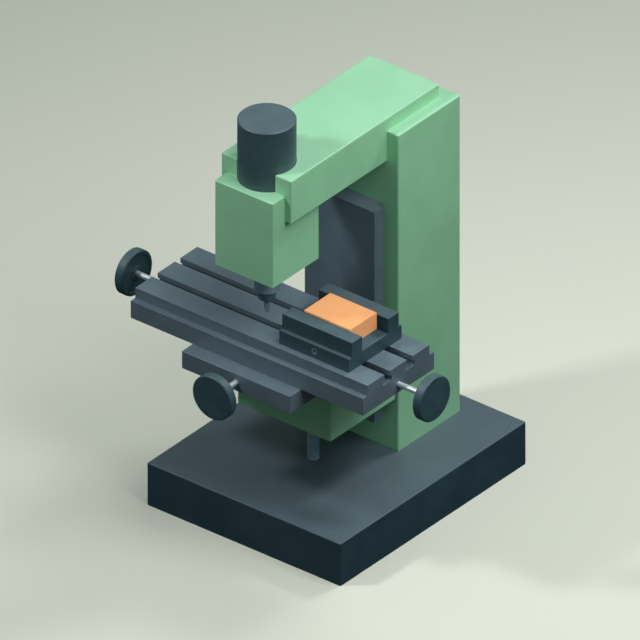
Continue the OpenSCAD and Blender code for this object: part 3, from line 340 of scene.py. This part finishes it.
# Dust and painted sheen: the more a face points up, the paler it gets.
upward_mask = ramp(dust_sheen_group, facing_up, SLOPING, LEVEL)
drift = noise(dust_sheen_group, given.outputs["Vector"], DRIFT_SCALE, detail=5.0, roughness=0.6)
drift = ramp(dust_sheen_group, drift, 0.3, 0.7, BLOWN_OFF, 1.0)
dust_and_sheen = times(dust_sheen_group, times(dust_sheen_group, upward_mask, drift), given.outputs["Amount"])
dust_sheen_group.links.new(dust_and_sheen, result.inputs["Dust"])
print("group", dust_sheen_group.name)

# %% [markdown]
# ## Skin of paint and of cast iron
#
# Enamel on a casting is never flat. Broad swells come from the filler under it, and a fine
# peel from the spray gun. Bare iron has the same two scales: slow changes of tone, and the
# fine grain of its crystals. One group gives both as a tone and a height, and each finish
# sets the scales and depths.

# %% Skin group
BROAD_SHARE, FINE_SHARE = 0.7, 0.3
TONE_LOW, TONE_HIGH = 0.36, 0.64

skin_group, given, result = new_group(
    "skin", {"Vector": None, "Broad": 6.0, "Fine": 320.0, "Fine depth": 0.5}, ["Tone", "Height"]
)
skin_at = given.outputs["Vector"]
broad = noise(skin_group, skin_at, given.outputs["Broad"], detail=4.0, roughness=0.55)
fine = noise(skin_group, skin_at, given.outputs["Fine"], detail=3.0, roughness=0.6)
tone = maths(
    skin_group, "ADD",
    times(skin_group, broad, BROAD_SHARE), times(skin_group, fine, FINE_SHARE),
)
height = maths(skin_group, "ADD", broad, times(skin_group, fine, given.outputs["Fine depth"]))
skin_group.links.new(ramp(skin_group, tone, TONE_LOW, TONE_HIGH), result.inputs["Tone"])
skin_group.links.new(height, result.inputs["Height"])
print("group", skin_group.name)

# %% [markdown]
# ## Tool marks
#
# A ground or milled face shows fine parallel lines. They are noise that is stretched along
# one axis: the coordinates are shrunk that way before the noise is read. The lines change
# the tone of the colour and the height a little, which gives bare metal its grain.

# %% Tool mark group
marks_group, given, result = new_group(
    "tool marks", {"Vector": None, "Along X": 1.0, "Along Y": 1.0, "Along Z": 1.0, "Scale": 900.0},
    ["Lines"],
)
squeeze = add(
    marks_group, "ShaderNodeCombineXYZ",
    {0: given.outputs["Along X"], 1: given.outputs["Along Y"], 2: given.outputs["Along Z"]},
).outputs[0]
squeezed = add(
    marks_group, "ShaderNodeVectorMath",
    {0: given.outputs["Vector"], 1: squeeze}, operation="MULTIPLY",
).outputs[0]
grain = noise(marks_group, squeezed, given.outputs["Scale"], roughness=0.7)
marks_group.links.new(ramp(marks_group, grain, 0.3, 0.7), result.inputs["Lines"])
print("group", marks_group.name)


# %% [markdown]
# ## One recipe for every finish
#
# All finishes of this machine are the same stack: a body colour that varies with the skin,
# painted shade and dirt in the corners, lines from the tool, a worn colour at the edges and
# dust with a painted sheen on top. So one function builds the stack, and each finish is a
# line of values. What is the same all over a surface is set straight on the Principled shader.

# %% Finish recipe
def light_colour(red, green, blue):
    """Colour of a screen, 0 to 255 each, as the linear values that the renderer works in."""
    screen = np.array([red, green, blue], float) / 255.0
    linear = np.where(screen <= 0.04045, screen / 12.92, ((screen + 0.055) / 1.055) ** 2.4)
    return (*[float(part) for part in linear], 1.0)


# Pale grey for dust and painted sheen on top faces.
DUST_SHEEN_GREY = light_colour(141, 156, 166)
SMOOTHER, ROUGHER = 0.9, 1.12
# Painted shade in corners: how dark it gets, as a share of the body colour.
PAINTED_CORNER_SHADE = 0.45
DIRT_DULLS = 0.15
BROKEN_EDGE = 0.0012


def scaled(colour, factor):
    """The same colour, darker or lighter."""
    return (*[min(1.0, part * factor) for part in colour[:3]], 1.0)


def mix(tree, factor, first, second):
    """Colour output that goes from first to second as factor goes from 0 to 1."""
    made = add(tree, "ShaderNodeMix", {0: factor, 6: first, 7: second}, data_type="RGBA")
    return made.outputs[2]


def group_in(tree, group, **values):
    """Places a node group in a material and sets or joins its inputs."""
    made = add(tree, "ShaderNodeGroup")
    made.node_tree = group
    for label, value in values.items():
        socket = made.inputs[label.replace("_", " ")]
        if isinstance(value, bpy.types.NodeSocket):
            tree.links.new(value, socket)
        else:
            socket.default_value = value
    return made.outputs


def finish(
    name, body, worn, rough, worn_rough=0.35, metal=0.0, worn_metal=1.0, vary=0.08,
    broad=6.0, fine=320.0, fine_depth=0.5, bump=0.0004, wear=0.5, wear_width=0.003,
    shade_and_dirt=0.5, dust_and_sheen=0.0, lines=None, line_depth=0.0, specular=0.5, painted_glow=0.0,
):
    """Material with a varied body colour, painted corner shade with dirt, tool lines, worn edges,
    dust with a painted sheen on top faces, and a painted glow where one is asked for.

    body and worn are colours, lines stretches the tool marks along an axis, and lengths such
    as bump and wear_width are in metres.
    """
    material = bpy.data.materials.new(name)
    material.use_nodes = True
    tree = material.node_tree
    shader = tree.nodes["Principled BSDF"]
    place = add(tree, "ShaderNodeTexCoord").outputs["Object"]
    skin = group_in(tree, skin_group, Vector=place, Broad=broad, Fine=fine, Fine_depth=fine_depth)
    edges = group_in(tree, wear_group, Vector=place, Width=wear_width, Amount=wear)["Wear"]
    corner_shade = group_in(tree, corner_shade_group, Vector=place, Amount=shade_and_dirt)["Dirt"]
    tone, height = skin["Tone"], skin["Height"]
    gloss = ramp(tree, tone, 0.0, 1.0, rough * SMOOTHER, min(1.0, rough * ROUGHER))
    if lines:
        streaks = group_in(
            tree, marks_group, Vector=place, Along_X=lines[0], Along_Y=lines[1], Along_Z=lines[2]
        )["Lines"]
        tone = maths(tree, "ADD", times(tree, tone, 0.5), times(tree, streaks, 0.5))
        height = maths(tree, "ADD", height, times(tree, streaks, line_depth))
    colour = mix(tree, tone, scaled(body, 1.0 - vary), scaled(body, 1.0 + vary))
    # Painted shade: in corners the colour darkens towards a darker copy of the body.
    colour = mix(tree, corner_shade, colour, scaled(body, PAINTED_CORNER_SHADE))
    colour = mix(tree, edges, colour, worn)
    # Dust and painted sheen: top faces are mixed towards a pale grey.
    if dust_and_sheen:
        on_top = group_in(tree, dust_sheen_group, Vector=place, Amount=dust_and_sheen)["Dust"]
        colour = mix(tree, on_top, colour, DUST_SHEEN_GREY)
    gloss = ramp(tree, edges, 0.0, 1.0, gloss, worn_rough)
    gloss = maths(tree, "ADD", gloss, times(tree, corner_shade, DIRT_DULLS), clamp=True)
    tree.links.new(colour, shader.inputs["Base Color"])
    tree.links.new(gloss, shader.inputs["Roughness"])
    if worn_metal == metal:
        shader.inputs["Metallic"].default_value = metal
    else:
        tree.links.new(ramp(tree, edges, 0.0, 1.0, metal, worn_metal), shader.inputs["Metallic"])
    shader.inputs["Specular IOR Level"].default_value = specular
    # Painted glow: the body colour is given off as light where a glow is asked for.
    shader.inputs["Emission Color"].default_value = body
    shader.inputs["Emission Strength"].default_value = painted_glow
    soft_edge = add(tree, "ShaderNodeBevel", {"Radius": BROKEN_EDGE}, samples=4).outputs[0]
    relief = add(
        tree, "ShaderNodeBump", {"Distance": bump, "Height": height, "Normal": soft_edge}
    ).outputs[0]
    tree.links.new(relief, shader.inputs["Normal"])
    return material


# %% [markdown]
# ## The finishes
#
# The castings are sprayed mint green over grey filler. The base has the same enamel in a
# blue black. Table, saddle and ways are bare iron, ground and oiled until they are slate
# grey. The vise is blackened, the handwheels are moulded dark resin, and the feed shafts
# are hard chrome. The work is an orange tooling board, given a faint painted glow. Each
# line below gives the body colour, the colour that shows where it is worn, and how rough it
# is, bare and worn.

# %% Finishes
IRON_EDGE = light_colour(150, 160, 163)
FILLER = light_colour(196, 214, 200)

finishes = {
    "green_paint": finish(
        "mint_enamel", light_colour(158, 223, 177), FILLER, 0.55, 0.5, worn_metal=0.0, vary=0.03,
        broad=5.0, fine=260.0, fine_depth=0.35, bump=0.0006, wear=0.35, wear_width=0.0022,
        shade_and_dirt=0.35, dust_and_sheen=0.13, specular=1.0),
    "base_paint": finish(
        "base_enamel", light_colour(33, 68, 82), light_colour(84, 98, 102), 0.6, 0.45,
        worn_metal=0.3, vary=0.1, broad=4.0, fine=210.0, fine_depth=0.6, bump=0.0009, wear=0.5,
        shade_and_dirt=0.3, dust_and_sheen=0.28, wear_width=0.0035, specular=1.0),
    "slate_iron": finish(
        "ground_iron", light_colour(110, 129, 142), IRON_EDGE, 0.5, 0.3, metal=0.2, vary=0.1,
        broad=7.0, fine=420.0, fine_depth=0.4, bump=0.00012, wear=0.45, wear_width=0.002,
        shade_and_dirt=0.4, lines=(0.02, 1.0, 1.0), line_depth=0.4, specular=0.8),
    "motor_paint": finish(
        "motor_enamel", light_colour(54, 82, 90), light_colour(110, 122, 126), 0.55, 0.4,
        worn_metal=0.5, vary=0.06, broad=9.0, fine=300.0, bump=0.0005, wear=0.3,
        wear_width=0.002, shade_and_dirt=0.3, dust_and_sheen=0.12, specular=0.9),
    "vise_iron": finish(
        "blackened_iron", light_colour(50, 80, 90), light_colour(112, 124, 128), 0.5, 0.3,
        metal=0.1, specular=0.8, vary=0.1, broad=9.0, fine=380.0, bump=0.0002, wear=0.45,
        wear_width=0.0018, shade_and_dirt=0.3, dust_and_sheen=0.24, lines=(0.02, 1.0, 1.0), line_depth=0.3),
    "dark_steel": finish(
        "oxide_steel", light_colour(126, 146, 154), IRON_EDGE, 0.45, 0.25, metal=0.3, vary=0.1,
        fine=500.0, bump=0.0001, wear=0.5, wear_width=0.0012, shade_and_dirt=0.3),
    "bright_steel": finish(
        "turned_steel", light_colour(150, 163, 168), light_colour(200, 207, 210), 0.32, 0.22,
        metal=0.8, vary=0.06, fine=500.0, bump=0.00008, wear=0.3, wear_width=0.001, shade_and_dirt=0.4,
        lines=(1.0, 1.0, 0.02), line_depth=0.4),
    "coated_steel": finish(
        "coated_cutter", light_colour(163, 181, 194), IRON_EDGE, 0.3, 0.22, metal=0.3, vary=0.06,
        fine=600.0, bump=0.00005, wear=0.35, wear_width=0.0008, shade_and_dirt=0.2),
    "chrome_shaft": finish(
        "hard_chrome", light_colour(230, 241, 250), light_colour(240, 246, 250), 0.45, 0.3,
        metal=0.6, worn_metal=0.6, specular=1.0, vary=0.02, fine=600.0, bump=0.00003, wear=0.2,
        wear_width=0.001, shade_and_dirt=0.15),
    "bronze": finish(
        "cast_bronze", light_colour(176, 136, 74), light_colour(222, 186, 118), 0.36, 0.25,
        metal=0.85, vary=0.1, fine=420.0, bump=0.00015, wear=0.4, wear_width=0.0014, shade_and_dirt=0.5),
    "copper_winding": finish(
        "varnished_winding", light_colour(150, 86, 48), light_colour(196, 120, 70), 0.4, 0.3,
        metal=0.6, vary=0.15, broad=20.0, fine=700.0, bump=0.0004, wear=0.2, shade_and_dirt=0.4),
    "phenolic": finish(
        "moulded_resin", light_colour(54, 86, 95), light_colour(94, 106, 112), 0.5, 0.4,
        worn_metal=0.0, specular=0.8, dust_and_sheen=0.12, vary=0.08, broad=14.0, fine=520.0,
        bump=0.00015, wear=0.35, wear_width=0.0022, shade_and_dirt=0.3),
    # The board is given a faint painted glow.
    "orange_board": finish(
        "tooling_board", light_colour(248, 174, 117), light_colour(255, 206, 150), 0.55, 0.6,
        worn_metal=0.0, vary=0.03, broad=18.0, fine=700.0, fine_depth=0.8, bump=0.0002, wear=0.5,
        wear_width=0.0015, shade_and_dirt=0.1, painted_glow=0.2),
    "button_green": finish(
        "green_button", light_colour(34, 150, 78), light_colour(90, 180, 120), 0.25, 0.3,
        worn_metal=0.0, vary=0.03, fine=700.0, bump=0.00005, wear=0.2, wear_width=0.001),
    "button_red": finish(
        "red_button", light_colour(188, 32, 26), light_colour(216, 90, 80), 0.25, 0.3,
        worn_metal=0.0, vary=0.03, fine=700.0, bump=0.00005, wear=0.2, wear_width=0.001),
}
PAPER = light_colour(240, 243, 229)
floor.data.materials.append(finish(
    "studio_floor", PAPER, PAPER, 0.85, 0.85,
    worn_metal=0.0, vary=0.004, broad=0.6, fine=40.0, bump=0.0001, wear=0.0, shade_and_dirt=0.0,
    specular=0.1))
print(len(finishes), "finishes")

# %% [markdown]
# ## Dress the solids
#
# Each solid came in with the name of its finish, so a lookup is enough. The mesh itself
# stays as it is: only the material in its slot changes. The quill and the elevating screw
# are dark steel too, but they slide or turn in oil all day and are rubbed lighter than the
# rest, so they get a finish of their own. The collet chuck is blued darker. The board is so
# bright that it would stain the black jaw beside it with orange light. The photograph shows
# no stain, so the board throws no light on its neighbours.

# %% Finishes on the solids
slot_of = {name: piece.material_slots[0].material.name for name, piece in nodes.items()}
look_of = {name: finishes[slot] for name, slot in slot_of.items()}
look_of["quill"] = look_of["elevating_screw"] = finish(
    "oiled_steel", light_colour(163, 194, 211), IRON_EDGE, 0.45, 0.25, metal=0.2, vary=0.08,
    fine=500.0, bump=0.0001, wear=0.4, wear_width=0.0012, shade_and_dirt=0.2)
look_of["collet_chuck"] = finish(
    "blued_steel", light_colour(98, 129, 145), IRON_EDGE, 0.45, 0.25, metal=0.3, vary=0.08,
    fine=500.0, bump=0.0001, wear=0.3, wear_width=0.0012, shade_and_dirt=0.2)
for name, piece in nodes.items():
    piece.material_slots[0].material = look_of[name]
nodes["workpiece"].visible_diffuse = False
nodes["workpiece"].visible_glossy = False
print({slot: list(slot_of.values()).count(slot) for slot in finishes})

# %% [markdown]
# ## Feed screws
#
# The knee climbs a thick upright screw, and two thin ones push the saddle and the table. The
# solid model has them as plain rods, because a thread would cost it thousands of faces. Here
# they are turned again with a trapezoidal thread, the kind that carries load on machine
# tools. An array of rings would show gaps and a boolean cut would be slow, so the thread is
# written as a formula: the rings of a turned bar, pushed along the bar as they go round. After
# a full turn each ring has moved by the lead, so it meets a ring further on. A thread of one
# start moves one pitch a turn, and one of two starts moves two.

# %% Turned bars with a thread
AROUND = 48
FLANKS = np.array([0.0, 0.15, 0.5, 0.65])
HEIGHTS = np.array([0.0, 1.0, 1.0, 0.0])
TURN = np.linspace(0.0, 1.0, AROUND + 1)
RUN_OUT = 0.8
WELD = 1e-6
SHARP = math.radians(35.0)


def plain_rows(*pairs):
    """Rings of a plain turned bar: each (radius, height) pair is the same all the way round."""
    pairs = np.array(pairs, float)[:, :, None] + np.zeros(AROUND + 1)
    return pairs[:, 0], pairs[:, 1]


def thread_rows(start, stop, root, crest, pitch, starts=1):
    """Rings of a right-handed thread.

    Height is start + pitch * (phase + starts * (turn - 1)), held between start and stop.
    Radius goes from root to crest and back within each pitch, and sinks to root at both ends.
    """
    turns = int(math.ceil((stop - start) / pitch)) + starts
    phase = (np.arange(turns)[:, None] + FLANKS).ravel()[:, None]
    height = np.clip(start + pitch * (phase + starts * (TURN - 1.0)), start, stop)
    fade = np.clip(np.minimum(height - start, stop - height) / (RUN_OUT * pitch), 0.0, 1.0)
    return root + (crest - root) * np.tile(HEIGHTS, turns)[:, None] * fade, height


def turned_bar(name, stands_for, body, centre, axis, parts):
    """Closed bar from rings: (radius * cos, radius * sin, height), rolled so height is axis."""
    radius = np.vstack([part[0] for part in parts])
    height = np.vstack([part[1] for part in parts])
    angle = 2.0 * math.pi * TURN
    points = np.stack([radius * np.cos(angle), radius * np.sin(angle), height], -1)
    bar = grid_mesh(name, np.roll(points, axis + 1, axis=-1) + np.array(centre))
    shell = bmesh.new()
    shell.from_mesh(bar.data)
    bmesh.ops.remove_doubles(shell, verts=shell.verts, dist=WELD)
    shell.to_mesh(bar.data)
    shell.free()
    bar.data.set_sharp_from_angle(angle=SHARP)
    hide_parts(stands_for)
    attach(bar, body)
    bar.data.materials.append(look_of[stands_for])
    print(name, len(bar.data.polygons), "faces")
    return bar


# %% [markdown]
# The elevating screw is 50 mm thick with a pitch of 10 mm. It stands in a socket in the base
# and doesn't turn: a nut inside the knee turns on it, and lifts the knee by 10 mm a turn. Its
# top end is turned down and has a shallow bore. Its places are read from the box of the solid
# that it stands for, so the two can't drift apart.

# %% Elevating screw
LIFT_PITCH = 0.01
LIFT_CREST, LIFT_ROOT = 0.025, 0.0201
FOOT = 0.02
NECK = 0.0225
BORE, BORE_DEPTH = 0.0125, 0.008

low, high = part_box("elevating_screw")
base_top, screw_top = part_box("base_casting")[1][2], high[2]
turned_bar(
    "elevating_screw_threaded", "elevating_screw", "frame",
    ((low[0] + high[0]) / 2, (low[1] + high[1]) / 2, 0.0), 2,
    [
        plain_rows((0.0, low[2]), (FOOT, low[2]), (FOOT, base_top), (LIFT_CREST, base_top),
                   (LIFT_CREST, base_top + 0.012)),
        thread_rows(base_top + 0.013, screw_top - 0.012, LIFT_ROOT, LIFT_CREST, LIFT_PITCH),
        plain_rows((NECK, screw_top - 0.01), (NECK, screw_top), (BORE, screw_top),
                   (BORE, screw_top - BORE_DEPTH), (0.0, screw_top - BORE_DEPTH)),
    ],
)

# %% [markdown]
# The table screw runs the whole length of the table and carries a handwheel at each end. Two
# collars hold it between the end brackets. The cross screw has one collar behind its
# bracket, and its free end reaches back into the nut on the knee. Both are 24 mm thick, with
# two starts and a pitch of 5 mm, so a turn of the handwheel feeds 10 mm.

# %% Table screw and cross screw
ROD = 0.012
ROOT = 0.00925
COLLAR, COLLAR_WIDTH = 0.018, 0.014
THREAD_FROM = 0.02
PITCH = 0.005
TABLE_BRACKET = 0.03
TIP = ROD - 0.002

low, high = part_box("table_feed_screw")
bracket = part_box("table_brackets")[1][0] - TABLE_BRACKET
collar, thread = bracket - COLLAR_WIDTH, bracket - THREAD_FROM
turned_bar(
    "table_screw_threaded", "table_feed_screw", "table_screw",
    (0.0, (low[1] + high[1]) / 2, (low[2] + high[2]) / 2), 0,
    [
        plain_rows((0.0, low[0]), (ROD, low[0]), (ROD, -bracket), (COLLAR, -bracket),
                   (COLLAR, -collar), (ROD, -collar), (ROD, -thread)),
        thread_rows(-thread, thread, ROOT, ROD, PITCH, starts=2),
        plain_rows((ROD, thread), (ROD, collar), (COLLAR, collar),
                   (COLLAR, bracket), (ROD, bracket), (ROD, high[0]), (0.0, high[0])),
    ],
)

low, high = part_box("cross_feed_screw")
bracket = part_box("cross_bracket")[1][1]
collar, thread = bracket + COLLAR_WIDTH, bracket + THREAD_FROM
turned_bar(
    "cross_screw_threaded", "cross_feed_screw", "cross_screw",
    ((low[0] + high[0]) / 2, 0.0, (low[2] + high[2]) / 2), 1,
    [
        plain_rows((0.0, low[1]), (ROD, low[1]), (ROD, bracket), (COLLAR, bracket),
                   (COLLAR, collar), (ROD, collar), (ROD, thread)),
        thread_rows(thread, high[1] - 0.006, ROOT, ROD, PITCH, starts=2),
        plain_rows((TIP, high[1] - 0.004), (TIP, high[1]), (0.0, high[1])),
    ],
)

# %% [markdown]
# ## Guard behind the ram
#
# The ram lies in an open channel in the column's top. Behind the ram a bent sheet keeps chips
# out of the channel and makes the top look closed. It is screwed to the ram's end, so it
# slides with the ram and never meets the column. A sheet is easiest as one thin surface: its
# profile is a leaf down the ram's end, a bend and a leaf to the rear, carried across the
# machine. Solidify gives it a thickness, and Bevel takes the sharpness off its edges.

# %% Bent sheet and its two screws
SHEET = 0.003
BEND = 0.005
LEAF_DOWN = 0.036
SIDE_GAP = 0.001
SCREW_X, SCREW_DOWN = 0.165, 0.024
HEAD_RADIUS, HEAD_HEIGHT, SKIRT = 0.0075, 0.005, 0.001

ram_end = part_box("ram_casting")[1][1]
channel_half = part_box("ram_casting")[1][0] - SIDE_GAP
column_end, cheek_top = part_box("column_casting")[1][1:]
sheet_y, sheet_z = ram_end + SHEET / 2, cheek_top - SHEET / 2


def sheet_profile(steps=9):
    """Places (y, z) down to up and back: a leaf, a quarter circle of radius BEND, a leaf."""
    angle = np.linspace(0.0, math.pi / 2, steps)
    bend_y = sheet_y + BEND * (1.0 - np.cos(angle))
    bend_z = sheet_z - BEND * (1.0 - np.sin(angle))
    y = np.concatenate([[sheet_y, sheet_y], bend_y, [column_end - 0.03, column_end - SHEET]])
    z = np.concatenate([[cheek_top - LEAF_DOWN, cheek_top - 0.02], bend_z, [sheet_z, sheet_z]])
    return y, z


profile_y, profile_z = sheet_profile()
places_across = np.linspace(-channel_half, channel_half, 25)
across, down = np.meshgrid(places_across, np.arange(profile_y.size))
guard = grid_mesh(
    "ram_rear_guard", np.stack([across, profile_y[down], profile_z[down]], -1), smooth=False
)
thicken = guard.modifiers.new("thickness", "SOLIDIFY")
thicken.thickness, thicken.offset = SHEET, 0.0
guard.modifiers.new("edges", "BEVEL").width = 0.0006


def dome_head(name, place, rings=7, around=24):
    """Domed screw head on a short skirt that reaches into the sheet.

    For t from 0 at the rim to a right angle at the top, the ring's radius is
    HEAD_RADIUS * cos(t) and its height above the sheet is SKIRT + HEAD_HEIGHT * sin(t).
    """
    rise = np.linspace(0.0, math.pi / 2, rings)[:, None]
    turn = np.linspace(0.0, 2.0 * math.pi, around + 1)
    reach = np.vstack([[[0.0]], [[HEAD_RADIUS]], HEAD_RADIUS * np.cos(rise)])
    up_y = np.vstack([[[-SKIRT]], [[-SKIRT]], SKIRT + HEAD_HEIGHT * np.sin(rise)])
    points = np.stack([reach * np.cos(turn), up_y + 0.0 * turn, -reach * np.sin(turn)], -1)
    return grid_mesh(name, points + np.array(place))


pieces = [guard] + [
    dome_head(f"guard_screw_{side}", (x, ram_end + SHEET, cheek_top - SCREW_DOWN))
    for side, x in (("left", -SCREW_X), ("right", SCREW_X))
]
for piece, slot in zip(pieces, ("green_paint", "dark_steel", "dark_steel")):
    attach(piece, "ram")
    piece.data.materials.append(finishes[slot])
print("guard", round(2 * channel_half, 3), "m wide and", round(column_end - ram_end, 3), "m deep")
